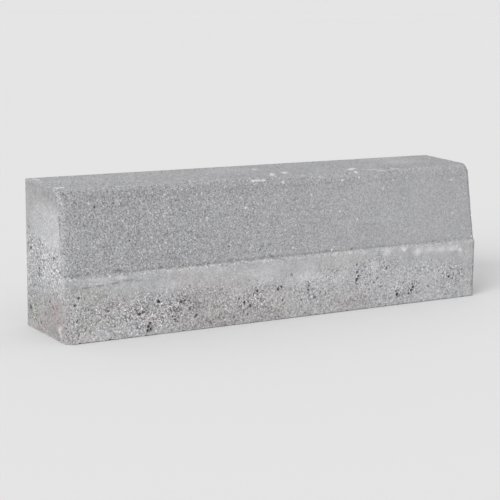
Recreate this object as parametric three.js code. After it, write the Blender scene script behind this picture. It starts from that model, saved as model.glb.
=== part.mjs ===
// Precast concrete kerb stone, cast in one piece.
// Millimetres. +X runs along the kerb, -Y faces the road, +Z is up, and z = 0 is the bed.
import * as THREE from 'three';
import { toCreasedNormals } from 'three/addons/utils/BufferGeometryUtils.js';

// Overall size
const LENGTH = 1000; // from butt joint to butt joint
const WIDTH = 200; // across the bed
const HEIGHT = 300; // from the bed to the back of the top

// Front, from the bed upwards
const LOWER_FRONT_HEIGHT = 125; // the upright part that the road buries
const LEDGE_STEP = 5.5; // how far the ledge steps back
const LEDGE_RISE = 6.5; // how far it climbs over that step
const BATTER_SETBACK = 35; // of the leaning face where it would meet the top
const TOP_FALL = 6; // of the top towards the road, over its whole width

// Rounding of the long arrises
const NOSE_RADIUS = 24; // between the leaning face and the top
const LEDGE_ARRIS_RADIUS = 4;
const LEDGE_ROOT_RADIUS = 3;
const ARRIS_RADIUS = 2; // along the bed and the back

// Ends
const END_CHAMFER = 10; // down both upright front arrises, following the front
const END_EASING = 1.5; // round the rim of both end faces

// Straight steps that make up each rounding
const NOSE_STEPS = 16;
const ARRIS_STEPS = 3;
const EASING_STEPS = 3;

const CREASE_ANGLE = THREE.MathUtils.degToRad(28);
const ORIGIN = new THREE.Vector2();

/** A corner of the section: where it is in (y, z), its radius and the steps of its arc. */
function corner(y, z, radius, steps = ARRIS_STEPS) {
  return { at: new THREE.Vector2(y, z), radius, steps };
}

/** Where the leaning face meets the top, with the whole front moved back by setback. */
function noseCorner(front, rootHeight) {
  const rootY = front + LEDGE_STEP;
  const lean = (BATTER_SETBACK - LEDGE_STEP) / (HEIGHT - TOP_FALL - rootHeight);
  const fall = TOP_FALL / (WIDTH - BATTER_SETBACK);
  const topAboveRoot = HEIGHT - fall * (WIDTH / 2 - rootY) - rootHeight;
  const rise = topAboveRoot / (1 - fall * lean);
  return corner(rootY + lean * rise, rootHeight + rise, NOSE_RADIUS, NOSE_STEPS);
}

/** The section's corners in turn, seen from the +X end, with the front moved back. */
function sectionCorners(setback) {
  const front = setback - WIDTH / 2;
  const back = WIDTH / 2;
  const rootHeight = LOWER_FRONT_HEIGHT + LEDGE_RISE;
  return [
    corner(front, 0, ARRIS_RADIUS),
    corner(back, 0, ARRIS_RADIUS),
    corner(back, HEIGHT, ARRIS_RADIUS),
    noseCorner(front, rootHeight),
    corner(front + LEDGE_STEP, rootHeight, LEDGE_ROOT_RADIUS),
    corner(front, LOWER_FRONT_HEIGHT, LEDGE_ARRIS_RADIUS),
  ];
}

/** The unit normal that points into the section from its side between two corners. */
function inwardNormal(from, to) {
  return to.at.clone().sub(from.at).normalize().rotateAround(ORIGIN, Math.PI / 2);
}

/** The section's outline with its roundings, drawn in from every side by inset. */
function sectionOutline(setback, inset) {
  const corners = sectionCorners(setback);
  return corners.flatMap((here, i) => {
    const arriving = inwardNormal(corners.at(i - 1), here);
    const leaving = inwardNormal(here, corners[(i + 1) % corners.length]);
    const turn = Math.atan2(arriving.cross(leaving), arriving.dot(leaving));
    const radius = Math.sign(turn) * here.radius; // below zero in a hollow corner
    const mitre = arriving.clone().add(leaving).divideScalar(1 + arriving.dot(leaving));
    const centre = here.at.clone().addScaledVector(mitre, radius);
    return Array.from({ length: here.steps + 1 }, (_, step) => {
      const normal = arriving.clone().rotateAround(ORIGIN, (turn * step) / here.steps);
      return centre.clone().addScaledVector(normal, inset - radius);
    });
  });
}

/** The stations from one end face to where its chamfer runs out into the full section. */
function endStations() {
  const eased = Array.from({ length: EASING_STEPS + 1 }, (_, step) => {
    const angle = (step / EASING_STEPS) * (Math.PI / 2);
    return {
      depth: END_EASING * (1 - Math.cos(angle)),
      setback: END_CHAMFER,
      inset: END_EASING * (1 - Math.sin(angle)),
    };
  });
  return [...eased, { depth: END_EASING + END_CHAMFER, setback: 0, inset: 0 }];
}

/** The closed solid through the stations of both ends. */
function kerbGeometry() {
  const nearEnd = endStations().map((s) => ({ ...s, x: s.depth - LENGTH / 2 }));
  const farEnd = endStations().map((s) => ({ ...s, x: LENGTH / 2 - s.depth })).reverse();
  const stations = [...nearEnd, ...farEnd];
  const outlines = stations.map((s) => sectionOutline(s.setback, s.inset));

  const positions = outlines.flatMap((outline, i) =>
    outline.flatMap((point) => [stations[i].x, point.x, point.y]));

  const around = outlines[0].length;
  const indices = [];
  for (let ring = 0; ring < stations.length - 1; ring += 1) {
    for (let j = 0; j < around; j += 1) {
      const near = ring * around + j;
      const nearNext = ring * around + ((j + 1) % around);
      indices.push(near, nearNext, nearNext + around);
      indices.push(near, nearNext + around, near + around);
    }
  }

  const lastRing = (stations.length - 1) * around;
  for (const [a, b, c] of THREE.ShapeUtils.triangulateShape(outlines[0], [])) {
    indices.push(c, b, a);
    indices.push(lastRing + a, lastRing + b, lastRing + c);
  }

  const geometry = new THREE.BufferGeometry();
  geometry.setAttribute('position', new THREE.Float32BufferAttribute(positions, 3));
  geometry.setIndex(indices);
  return toCreasedNormals(geometry, CREASE_ANGLE);
}

const concrete = new THREE.MeshStandardMaterial({
  name: 'concrete',
  color: '#a9a9aa',
  roughness: 0.92,
  metalness: 0,
});

const kerbStone = new THREE.Mesh(kerbGeometry(), concrete);
kerbStone.name = 'kerb_stone';

const part = new THREE.Group();
part.name = 'concrete_kerb_stone';
part.add(kerbStone);

export default part;
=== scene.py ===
"""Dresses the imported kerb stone: its cast form, open texture, worn arrises, pits and bloom."""

import logging
import math
import random
from collections.abc import Callable, Iterable, Iterator
from dataclasses import dataclass, field
from enum import Enum

import bmesh
import bpy
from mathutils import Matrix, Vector, noise
from mathutils.kdtree import KDTree


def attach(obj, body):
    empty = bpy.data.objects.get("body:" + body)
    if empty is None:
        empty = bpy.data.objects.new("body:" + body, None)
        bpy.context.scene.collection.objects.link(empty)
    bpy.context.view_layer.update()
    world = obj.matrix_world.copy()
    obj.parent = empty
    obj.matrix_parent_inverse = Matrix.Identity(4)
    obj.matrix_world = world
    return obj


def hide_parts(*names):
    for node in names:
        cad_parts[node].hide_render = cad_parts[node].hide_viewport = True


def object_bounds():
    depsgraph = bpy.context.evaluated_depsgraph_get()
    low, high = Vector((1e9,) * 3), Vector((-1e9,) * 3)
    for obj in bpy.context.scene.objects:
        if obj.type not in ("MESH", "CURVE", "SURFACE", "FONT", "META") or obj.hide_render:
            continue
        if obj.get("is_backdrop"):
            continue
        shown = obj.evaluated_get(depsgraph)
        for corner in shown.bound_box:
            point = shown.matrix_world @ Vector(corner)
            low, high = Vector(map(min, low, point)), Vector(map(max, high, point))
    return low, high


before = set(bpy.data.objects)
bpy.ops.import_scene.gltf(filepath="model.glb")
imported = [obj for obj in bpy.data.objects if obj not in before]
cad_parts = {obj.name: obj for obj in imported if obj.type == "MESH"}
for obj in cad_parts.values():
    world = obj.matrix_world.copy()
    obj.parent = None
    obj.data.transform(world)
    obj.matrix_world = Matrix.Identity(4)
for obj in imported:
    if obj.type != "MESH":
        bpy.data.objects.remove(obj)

LOG = logging.getLogger("kerb_stone")
MM = 0.001

SLACK = 0.1 * MM  # how close two places are when they count as one
WELD = 0.02 * MM  # how close a cut runs to a vertex when it goes through it
SQUARE = 0.99  # how much of a normal lies along an axis when a face is square to it
FLAT = math.radians(0.5)  # how little two faces turn when they count as one

RAG_SIZE = 0.8  # the size of the ragged bays in a spot's rim, as a share of its reach
RAG_DEPTH = 0.3  # how far they go in and out, as a share of its reach
LAST_TRACE = 1.6  # how many reaches from its centre nothing of a spot is left

FRONT_Y = -100  # Y of the lower front, in the spots' millimetres
BACK_Y = 100  # Y of the back
LEFT_X = -500  # X of the left end
RIGHT_X = 500  # X of the right end

Triple = tuple[float, float, float]
Colour = tuple[float, float, float, float]


def linear(level: float) -> float:
    """The linear value of a display level from 0 to 255."""
    share = level / 255.0
    return share / 12.92 if share <= 0.04045 else ((share + 0.055) / 1.055) ** 2.4


def tone(red: float, green: float, blue: float) -> Colour:
    """A linear colour from three display levels."""
    return (linear(red), linear(green), linear(blue), 1.0)


def ease(value: float, low: float, high: float) -> float:
    """A smooth step from 0 at low to 1 at high."""
    share = min(1.0, max(0.0, (value - low) / (high - low)))
    return share * share * (3.0 - 2.0 * share)


@dataclass(frozen=True)
class Ramp:
    """A smooth change of an amount along some measure.

    Attributes:
        low: Where on the measure the change begins.
        high: Where it is over.
        start: The amount up to low.
        end: The amount from high on.
    """

    low: float
    high: float
    start: float = 0.0
    end: float = 1.0

    def at(self, value: float) -> float:
        """The amount at a value of the measure."""
        return self.start + (self.end - self.start) * ease(value, self.low, self.high)


class Element(Enum):
    """What a selection in edit mode is made of."""

    VERTEX = "VERT"
    EDGE = "EDGE"
    FACE = "FACE"


class Workpiece:
    """One mesh on the bench, shaped in edit mode: pick by place, then cut, move or round."""

    def __init__(self, name: str, size: Vector, centre: Vector) -> None:
        """Starts from a plain block.

        Args:
            name: The object's name.
            size: The block's size along X, Y and Z, in metres.
            centre: The block's centre.
        """
        bpy.ops.object.select_all(action="DESELECT")
        bpy.ops.mesh.primitive_cube_add(size=1.0, location=centre)
        self.object = bpy.context.active_object
        self.object.name = name
        self.object.data.name = name
        self.object.scale = size
        bpy.ops.object.transform_apply(location=True, rotation=True, scale=True)
        bpy.ops.object.mode_set(mode="EDIT")

    def pick(self, element: Element, wanted: Callable[..., bool]) -> int:
        """Selects only the elements that pass a test.

        Args:
            element: Whether vertices, edges or faces are picked.
            wanted: The test, given the bmesh element.

        Returns:
            How many elements were picked.
        """
        bpy.ops.mesh.select_mode(type=element.value)
        bpy.ops.mesh.select_all(action="DESELECT")
        shape = bmesh.from_edit_mesh(self.object.data)
        items = {
            Element.VERTEX: shape.verts,
            Element.EDGE: shape.edges,
            Element.FACE: shape.faces,
        }[element]
        picked = [item for item in items if wanted(item)]
        for item in picked:
            item.select_set(True)
        shape.select_flush_mode()
        bmesh.update_edit_mesh(self.object.data, loop_triangles=False)
        return len(picked)

    def cut(self, point: Triple, normal: Triple) -> None:
        """Cuts every face along a plane and keeps both sides."""
        bpy.ops.mesh.select_all(action="SELECT")
        bpy.ops.mesh.bisect(plane_co=point, plane_no=normal, threshold=WELD)

    def move(self, step: Triple) -> None:
        """Moves what is picked."""
        bpy.ops.transform.translate(value=step)

    def round_picked(self, radius: float, segments: int) -> None:
        """Rounds the picked edges, which all turn by the same angle.

        Args:
            radius: The radius of the rounding, in metres.
            segments: The straight steps in its arc.
        """
        shape = bmesh.from_edit_mesh(self.object.data)
        turn = max(edge.calc_face_angle() for edge in shape.edges if edge.select)
        self.bevel_picked(radius * math.tan(turn / 2.0), segments)

    def bevel_picked(self, setback: float, segments: int) -> None:
        """Bevels the picked edges.

        Args:
            setback: How far the bevel reaches into each face, in metres.
            segments: The straight steps across it.
        """
        bpy.ops.mesh.bevel(
            offset_type="OFFSET",
            offset=setback,
            segments=segments,
            profile=0.5,
            affect="EDGES",
            clamp_overlap=False,
        )

    def close(self) -> bpy.types.Object:
        """Leaves edit mode and returns the object."""
        bpy.ops.object.mode_set(mode="OBJECT")
        return self.object


@dataclass(frozen=True)
class Spot:
    """A pit or a mark at one place on the surface, in millimetres.

    Attributes:
        at: Its centre.
        reach: Its half width.
        stretch: How many times longer it is along X.
        strength: How deep or how plain it is at its middle, from 0 to 1.
        softness: The share of its reach over which it fades out.
    """

    at: Triple
    reach: float
    stretch: float = 1.0
    strength: float = 1.0
    softness: float = 1.0

    @property
    def centre(self) -> Vector:
        """Its centre in metres."""
        return Vector(self.at) * MM

    def share(self, place: Vector) -> float:
        """How much of the spot is at a place, fading to 0 at its ragged rim.

        Args:
            place: The place, in metres.

        Returns:
            A share from 0 to the spot's strength.
        """
        reach = self.reach * MM
        away = place - self.centre
        away.x /= self.stretch
        if away.length > LAST_TRACE * reach:
            return 0.0
        away += noise.noise_vector(place / (RAG_SIZE * reach)) * RAG_DEPTH * reach
        return self.strength * (1.0 - ease(away.length / reach, 1.0 - self.softness, 1.0))


class Spots:
    """Many spots, found quickly by place."""

    def __init__(self, spots: Iterable[Spot]) -> None:
        """Keeps the spots in a tree.

        Args:
            spots: The pits or marks.
        """
        self.spots = list(spots)
        reaches = [spot.reach * max(1.0, spot.stretch) for spot in self.spots]
        self.widest = max(reaches) * LAST_TRACE * MM
        self.tree = KDTree(len(self.spots))
        for index, spot in enumerate(self.spots):
            self.tree.insert(spot.centre, index)
        self.tree.balance()

    def share(self, place: Vector) -> float:
        """The largest share that any spot has at a place."""
        near = self.tree.find_range(place, self.widest)
        return max((self.spots[index].share(place) for _, index, _ in near), default=0.0)

    def near(self, place: Vector, margin: float) -> bool:
        """Whether a place is on a spot or near one.

        Args:
            place: The place, in metres.
            margin: How near the spot's ragged rim counts, in metres.

        Returns:
            Whether any spot is that near.
        """
        for centre, index, _ in self.tree.find_range(place, self.widest + margin):
            away = place - centre
            away.x /= self.spots[index].stretch
            if away.length < self.spots[index].reach * (1.0 + RAG_DEPTH) * MM + margin:
                return True
        return False


@dataclass(frozen=True)
class Zone:
    """Part of the surface that gets a finer mesh, for the relief that it carries.

    Attributes:
        name: What the zone is called.
        spacing: The longest edge that stays, in metres.
        holds: Whether a face with this centre and outward normal is in the zone.
    """

    name: str
    spacing: float
    holds: Callable[[Vector, Vector], bool]


@dataclass
class KerbForm:
    """The stone as it left the mould: its section along the road, and its chamfered ends.

    Attributes:
        length: From end face to end face, in metres, as are all sizes.
        width: Across the bed.
        height: From the bed to the back of the top.
        lower_front: The height of the upright part of the front.
        ledge_step: How far the ledge steps back.
        ledge_rise: How far it climbs over that step.
        batter_setback: How far behind the lower front the leaning face would meet the top.
        top_fall: The fall of the top towards the road.
        nose_radius: Of the rounding between the leaning face and the top.
        ledge_arris_radius: Of the ledge's outer edge.
        ledge_root_radius: Of the hollow corner behind the ledge.
        arris_radius: Of the edges along the bed and the back.
        end_chamfer: The width of the chamfers down the front's two ends.
        end_easing: How far the rims of the end faces are eased.
        slice_length: About how long the edges of the coarse mesh are.
        nose_segments: The straight steps in the nose's rounding.
        arris_segments: The straight steps in the other long roundings.
        easing_segments: The straight steps in the easing of the end rims.
    """

    length: float = 1000 * MM
    width: float = 200 * MM
    height: float = 300 * MM
    lower_front: float = 125 * MM
    ledge_step: float = 5.5 * MM
    ledge_rise: float = 6.5 * MM
    batter_setback: float = 35 * MM
    top_fall: float = 6 * MM
    nose_radius: float = 24 * MM
    ledge_arris_radius: float = 4 * MM
    ledge_root_radius: float = 3 * MM
    arris_radius: float = 2 * MM
    end_chamfer: float = 10 * MM
    end_easing: float = 1.5 * MM
    slice_length: float = 15.4 * MM
    nose_segments: int = 12
    arris_segments: int = 3
    easing_segments: int = 2

    @property
    def front(self) -> float:
        """Y of the lower front face."""
        return -self.width / 2.0

    @property
    def back(self) -> float:
        """Y of the back face."""
        return self.width / 2.0

    @property
    def root_height(self) -> float:
        """Z of the foot of the leaning face, behind the ledge."""
        return self.lower_front + self.ledge_rise

    @property
    def nose_corner(self) -> tuple[float, float]:
        """Y and Z where the leaning face would meet the top."""
        return (self.front + self.batter_setback, self.height - self.top_fall)

    def front_at(self, height: float) -> float:
        """Y of the front with its edges still sharp.

        Args:
            height: The height above the bed, in metres.

        Returns:
            Y at that height, in metres.
        """
        if height < self.lower_front:
            return self.front
        top_y, top_z = self.nose_corner
        climbed = max(0.0, height - self.root_height) / (top_z - self.root_height)
        return self.front + self.ledge_step + climbed * (self.batter_setback - self.ledge_step)

    @staticmethod
    def on_end(normal: Vector) -> bool:
        """Whether a surface with this normal is on one of the end faces."""
        return abs(normal.x) > 0.85

    @staticmethod
    def on_back(normal: Vector) -> bool:
        """Whether a surface with this normal is on the back."""
        return normal.y > 0.7

    @staticmethod
    def on_bed(normal: Vector) -> bool:
        """Whether a surface with this normal is on the bed."""
        return normal.z < -0.7

    @staticmethod
    def on_top(normal: Vector) -> bool:
        """Whether a surface with this normal is on the top, short of the nose and the ends."""
        return normal.z > 0.7 and normal.y > -0.3 and abs(normal.x) < 0.3

    @staticmethod
    def to_road(normal: Vector) -> bool:
        """Whether a surface with this normal faces the road, chamfers included."""
        return normal.y < -0.5

    @staticmethod
    def on_front(normal: Vector) -> bool:
        """Whether a surface with this normal is on the front, the ledge or the nose."""
        return normal.y < -0.3

    def on_lower_front(self, place: Vector, normal: Vector) -> bool:
        """Whether a place is on the front below the ledge, chamfers included."""
        return self.to_road(normal) and place.z < self.lower_front

    def keeps_skin(self, normal: Vector) -> bool:
        """Whether a surface with this normal, on an end, the back or the bed, keeps its skin."""
        return self.on_end(normal) or self.on_back(normal) or self.on_bed(normal)

    def mould(self, zones: Iterable[Zone]) -> bpy.types.Object:
        """Makes the stone's mesh.

        Args:
            zones: The zones that get a finer mesh, coarse ones first.

        Returns:
            The finished object, in object mode.
        """
        piece = self.block()
        self.round_long_edges(piece)
        self.draw_out_ends(piece)
        self.slice_up(piece)
        for zone in zones:
            self.refine(piece, zone)
        return piece.close()

    def block(self) -> Workpiece:
        """Shapes a block into the section with sharp edges, short of its ends.

        Returns:
            The block, in edit mode.
        """
        run = self.length - 2.0 * (self.end_chamfer + self.end_easing)
        size = Vector((run, self.width, self.height))
        piece = Workpiece("kerb_stone_cast", size, Vector((0.0, 0.0, self.height / 2.0)))
        for level in (self.lower_front, self.root_height):
            piece.cut((0.0, 0.0, level), (0.0, 0.0, 1.0))
        piece.pick(Element.VERTEX, lambda vertex: self.at(vertex, self.front, self.root_height))
        piece.move((0.0, self.ledge_step, 0.0))
        piece.pick(Element.VERTEX, lambda vertex: self.at(vertex, self.front, self.height))
        piece.move((0.0, self.batter_setback, -self.top_fall))
        bpy.ops.mesh.select_all(action="SELECT")
        bpy.ops.mesh.dissolve_limited(angle_limit=FLAT)
        return piece

    @staticmethod
    def at(vertex: bmesh.types.BMVert, y: float, z: float) -> bool:
        """Whether a vertex is at a point of the section."""
        return math.hypot(vertex.co.y - y, vertex.co.z - z) < SLACK

    def round_long_edges(self, piece: Workpiece) -> None:
        """Rounds the six edges that run along the stone, each to its own radius.

        Args:
            piece: The stone, with the sharp section.
        """
        ledge_root = (self.front + self.ledge_step, self.root_height)
        edges = (
            (self.nose_corner, self.nose_radius, self.nose_segments),
            (ledge_root, self.ledge_root_radius, self.arris_segments),
            ((self.front, self.lower_front), self.ledge_arris_radius, self.arris_segments),
            ((self.front, 0.0), self.arris_radius, self.arris_segments),
            ((self.back, 0.0), self.arris_radius, self.arris_segments),
            ((self.back, self.height), self.arris_radius, self.arris_segments),
        )
        for (y, z), radius, segments in edges:
            piece.pick(
                Element.EDGE, lambda edge: all(self.at(vertex, y, z) for vertex in edge.verts)
            )
            piece.round_picked(radius, segments)

    def draw_out_ends(self, piece: Workpiece) -> None:
        """Draws both ends out, sets their front back for the chamfer and eases the rims.

        The front is set back level, but the nose is set back along the fall of the top.

        Args:
            piece: The stone, with its long edges rounded.
        """
        reach = self.end_chamfer + self.end_easing
        foot_to_nose = self.height - self.top_fall - self.root_height
        lean = (self.batter_setback - self.ledge_step) / foot_to_nose
        fall = self.top_fall / (self.width - self.batter_setback)
        nose_back = reach / (1.0 - fall * lean)
        below_nose = self.nose_corner[1] - 2.0 * self.nose_radius
        rim = self.length / 2.0 - SLACK
        for side in (-1.0, 1.0):
            piece.pick(Element.FACE, lambda face: face.normal.x * side > SQUARE)
            bpy.ops.mesh.extrude_region_move(
                TRANSFORM_OT_translate={"value": (side * reach, 0.0, 0.0)}
            )
            for low, high, step in (
                (0.0, below_nose, (0.0, reach, 0.0)),
                (below_nose, self.height, (0.0, nose_back, fall * nose_back)),
            ):
                piece.pick(
                    Element.VERTEX,
                    lambda vertex: vertex.co.x * side > rim
                    and vertex.co.y < 0.0
                    and low - SLACK < vertex.co.z < high,
                )
                piece.move(step)
            piece.pick(
                Element.EDGE,
                lambda edge: all(vertex.co.x * side > rim for vertex in edge.verts),
            )
            piece.bevel_picked(self.end_easing, self.easing_segments)

    def slice_up(self, piece: Workpiece) -> None:
        """Slices the whole stone into an even, coarse grid along each axis.

        Args:
            piece: The stone, with its ends drawn out.
        """
        spans = (
            (Vector((1.0, 0.0, 0.0)), -self.length / 2.0, self.length / 2.0),
            (Vector((0.0, 1.0, 0.0)), self.front, self.back),
            (Vector((0.0, 0.0, 1.0)), 0.0, self.height),
        )
        for axis, low, high in spans:
            count = round((high - low) / self.slice_length)
            for cut in range(1, count):
                place = axis * (low + (high - low) * cut / count)
                piece.cut(tuple(place), tuple(axis))

    def refine(self, piece: Workpiece, zone: Zone) -> None:
        """Halves a zone's edges until none is longer than its spacing.

        Args:
            piece: The stone, sliced up.
            zone: The zone.
        """

        def too_long(edge: bmesh.types.BMEdge) -> bool:
            """Whether an edge still has to be halved.

            Args:
                edge: The edge.

            Returns:
                Whether it is in the zone and longer than its spacing.
            """
            return edge.calc_length() > zone.spacing and any(
                zone.holds(face.calc_center_median(), face.normal) for face in edge.link_faces
            )

        while piece.pick(Element.EDGE, too_long):
            bpy.ops.mesh.subdivide(number_cuts=1, ngon=False, quadcorner="INNERVERT")
        faces = len(bmesh.from_edit_mesh(piece.object.data).faces)
        LOG.info("mesh of zone %s done: %d faces", zone.name, faces)


class Basis(Enum):
    """What the pattern of a relief is made of."""

    SMOOTH = "BLENDER_ORIGINAL"
    CRACKED = "VORONOI_CRACKLE"


@dataclass(frozen=True)
class Relief:
    """One kind of unevenness, always pressed into the stone and never out of it.

    Attributes:
        name: What it is called.
        size: The size of its features, in metres.
        depth: The deepest that it goes, in metres.
        where: The vertex group with its share at each point, or "" for everywhere.
        basis: What its pattern is made of, or None for an even push.
        contrast: How sharply the pattern turns from high to low.
        level: The pattern's brightness: over 1 leaves more of the surface alone.
    """

    name: str
    size: float
    depth: float
    where: str = ""
    basis: Basis | None = Basis.SMOOTH
    contrast: float = 1.0
    level: float = 1.0

    def press(self, stone: bpy.types.Object) -> None:
        """Presses the relief into a mesh and applies it.

        Args:
            stone: The stone's object, in object mode.
        """
        modifier = stone.modifiers.new(self.name, "DISPLACE")
        modifier.direction = "NORMAL"
        modifier.vertex_group = self.where
        if self.basis is None:
            modifier.mid_level = 0.0
            modifier.strength = -self.depth
        else:
            modifier.texture = self.pattern(self.basis)
            modifier.texture_coords = "LOCAL"
            modifier.mid_level = 1.0
            modifier.strength = self.depth
        bpy.ops.object.modifier_apply(modifier=self.name)

    def pattern(self, basis: Basis) -> bpy.types.Texture:
        """The pattern, whose low places go in and whose high places stay.

        Args:
            basis: What it is made of.

        Returns:
            The pattern as a texture.
        """
        pattern = bpy.data.textures.new(self.name, type="CLOUDS")
        pattern.noise_basis = basis.value
        pattern.noise_scale = self.size
        pattern.use_clamp = True
        pattern.contrast = self.contrast
        pattern.intensity = self.level
        return pattern


@dataclass
class Marks:
    """The pits, open patches, marks and stains of the stone, each at a place of its own.

    Attributes:
        seed: What the small pits' places and the ragged rims of all marks are drawn from.
        front_count, back_count, end_count: How many small pits there are on each face.
        pits: The pits that are large enough to pick out one by one.
        small_pits: The small pits, at random places.
        honeycomb: Where the concrete is most open.
        bloom_and_highlight: White bloom, pale skin and a painted highlight on the left end.
        scuffs_and_highlights: Pale scuffs and specks, and a painted highlight on the left end's top
            rim.
        grime: Where the surface is broadly darker.
        warm_stain: Where it is faintly reddish.
        olive_stain: Where it is faintly green.
    """

    seed: int = 7
    front_count: int = 90
    back_count: int = 40
    end_count: int = 24
    pits: Spots = field(init=False)
    small_pits: Spots = field(init=False)
    honeycomb: Spots = field(init=False)
    bloom_and_highlight: Spots = field(init=False)
    scuffs_and_highlights: Spots = field(init=False)
    grime: Spots = field(init=False)
    warm_stain: Spots = field(init=False)
    olive_stain: Spots = field(init=False)

    def __post_init__(self) -> None:
        """Sets out every kind of mark, and fixes the noise that makes their rims ragged."""
        noise.seed_set(self.seed)
        self.pits = Spots(self.plain_pits())
        self.small_pits = Spots(self.scattered_pits())
        self.honeycomb = Spots(self.open_patches())
        self.bloom_and_highlight = Spots(self.lime_and_highlight_marks())
        self.scuffs_and_highlights = Spots(self.scuff_and_highlight_marks())
        self.grime = Spots(self.grime_patches())
        self.warm_stain = Spots(self.warm_patches())
        self.olive_stain = Spots(self.olive_patches())

    def plain_pits(self) -> Iterator[Spot]:
        """The pits and grooves that are large enough to pick out one by one.

        Yields:
            The pits of the lower front, its grooves with the ledge's and the batter's chips, a
            curved row of small pits, and the pits of the left end.
        """
        for x, z, reach, strength in (
            (-325, 18, 5.0, 1.0), (-320, 12, 4.6, 1.0), (-327, 10, 4.4, 1.0),
            (-322, 25, 3.6, 0.9), (-303, 66, 5.0, 1.0), (-266, 26, 3.4, 0.8),
            (-345, 45, 4.6, 0.8), (-338, 47, 4.2, 0.8), (-350, 18, 4.0, 0.7),
            (-219, 29, 5.0, 0.6), (-107, 44, 4.8, 0.9), (-92, 37, 4.4, 0.7), (-99, 19, 3.8, 0.5),
            (-76, 66, 4.4, 0.5), (-26, 65, 5.4, 0.8), (-18, 69, 3.4, 0.7), (-14, 40, 4.2, 0.6),
            (7, 92, 5.0, 0.5), (48, 72, 3.0, 0.6), (49, 64, 3.0, 0.6), (48, 55, 2.8, 0.5),
            (65, 38, 5.4, 0.5), (172, 82, 4.6, 0.75), (172, 66, 5.2, 0.9), (176, 74, 3.0, 0.8),
            (171, 98, 3.4, 0.4), (250, 84, 4.2, 0.6), (205, 42, 3.8, 0.5), (226, 65, 3.8, 0.5),
            (280, 23, 5.8, 1.0), (277, 31, 3.8, 0.8), (322, 36, 4.2, 0.9), (317, 29, 4.4, 1.0),
            (311, 23, 3.6, 0.8), (393, 66, 3.4, 0.5), (421, 50, 4.0, 0.6), (-474, 90, 4.0, 0.6),
            (-481, 76, 4.0, 0.7), (-477, 45, 4.4, 0.6), (-254, 62, 3.4, 0.5),
            (-246, 62, 3.2, 0.5), (-186, 12, 3.8, 0.5), (-166, 19, 4.0, 0.5),
            (-120, 54, 3.6, 0.4), (-233, 90, 3.8, 0.4), (127, 21, 3.2, 0.4),
        ):
            yield Spot((x, FRONT_Y, z), reach, strength=strength, softness=0.7)
        for x, y, z, reach, stretch, strength in (
            (-391, -93.5, 134.5, 2.6, 2.2, 0.5), (-492, -94, 134, 3.0, 1.8, 0.5),
            (-456, -100, 108, 3.0, 6.0, 0.26), (-428, -100, 109.5, 3.0, 6.0, 0.24),
            (-396, -100, 111.5, 3.0, 6.0, 0.28), (-366, -100, 114.5, 3.0, 5.0, 0.26),
            (-344, -100, 112, 3.0, 4.0, 0.22), (-331, -100, 109, 3.0, 4.0, 0.16),
            (-470, -94, 133.5, 3.0, 3.0, 0.28), (-294, -94, 133.5, 3.0, 1.8, 0.3),
            (-198, -94, 133.5, 3.0, 1.8, 0.3), (-138, -94, 133.5, 3.0, 1.8, 0.28),
            (-38, -94, 133.5, 3.0, 3.0, 0.28), (98, -94, 133.5, 3.0, 3.0, 0.26),
            (162, -94, 133.5, 3.0, 4.0, 0.26), (378, -94, 133.0, 3.0, 2.0, 0.24),
            (414, -94, 133.5, 3.0, 2.0, 0.2), (-426, -71.5, 258, 3.0, 1.0, 0.85),
            (-358, -84, 190, 2.8, 1.0, 0.6), (-386, -70.5, 264, 2.8, 1.0, 0.6),
            (-138, -89, 162, 2.8, 1.2, 0.6), (-66, -91, 150, 2.6, 1.0, 0.5),
        ):
            yield Spot((x, y, z), reach, stretch, strength, 0.8)
        for x, z in ((-276, 46), (-270, 48), (-263, 47), (-257, 43), (-254, 37), (-258, 31)):
            yield Spot((x, FRONT_Y, z), 2.8, strength=0.6, softness=0.8)
        for y, z, reach, strength in (
            (34, 126, 5.6, 1.0), (36, 115, 4.6, 0.8), (-40, 159, 5.0, 0.7), (-48, 158, 4.2, 0.6),
            (83, 40, 6.0, 0.8), (84, 203, 5.0, 0.6), (29, 184, 5.4, 0.6), (33, 172, 4.2, 0.5),
            (-50, 120, 4.6, 0.6), (-15, 107, 5.0, 0.7), (30, 20, 4.6, 0.7), (-17, 70, 4.2, 0.5),
            (-33, 63, 4.6, 0.6), (75, 163, 4.6, 0.7), (-60, 165, 4.2, 0.5),
        ):
            yield Spot((LEFT_X, y, z), reach, strength=strength, softness=0.7)

    def scattered_pits(self) -> Iterator[Spot]:
        """Small pits at random places on every upright face, the same on each run.

        Yields:
            Those of the front below the ledge, of the back and of both ends.
        """
        chance = random.Random(self.seed)
        for _ in range(self.front_count):
            place = (chance.uniform(-485, 485), FRONT_Y, chance.uniform(5, 94))
            yield Spot(place, chance.uniform(2.2, 3.6), strength=chance.uniform(0.25, 0.6))
        for _ in range(self.back_count):
            place = (chance.uniform(-490, 490), BACK_Y, chance.uniform(8, 290))
            yield Spot(place, chance.uniform(2.2, 4.4), strength=chance.uniform(0.3, 0.9))
        for side in (LEFT_X, RIGHT_X):
            for _ in range(self.end_count):
                place = (side, chance.uniform(-80, 90), chance.uniform(8, 170))
                yield Spot(place, chance.uniform(2.2, 3.8), strength=chance.uniform(0.3, 0.8))

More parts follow.
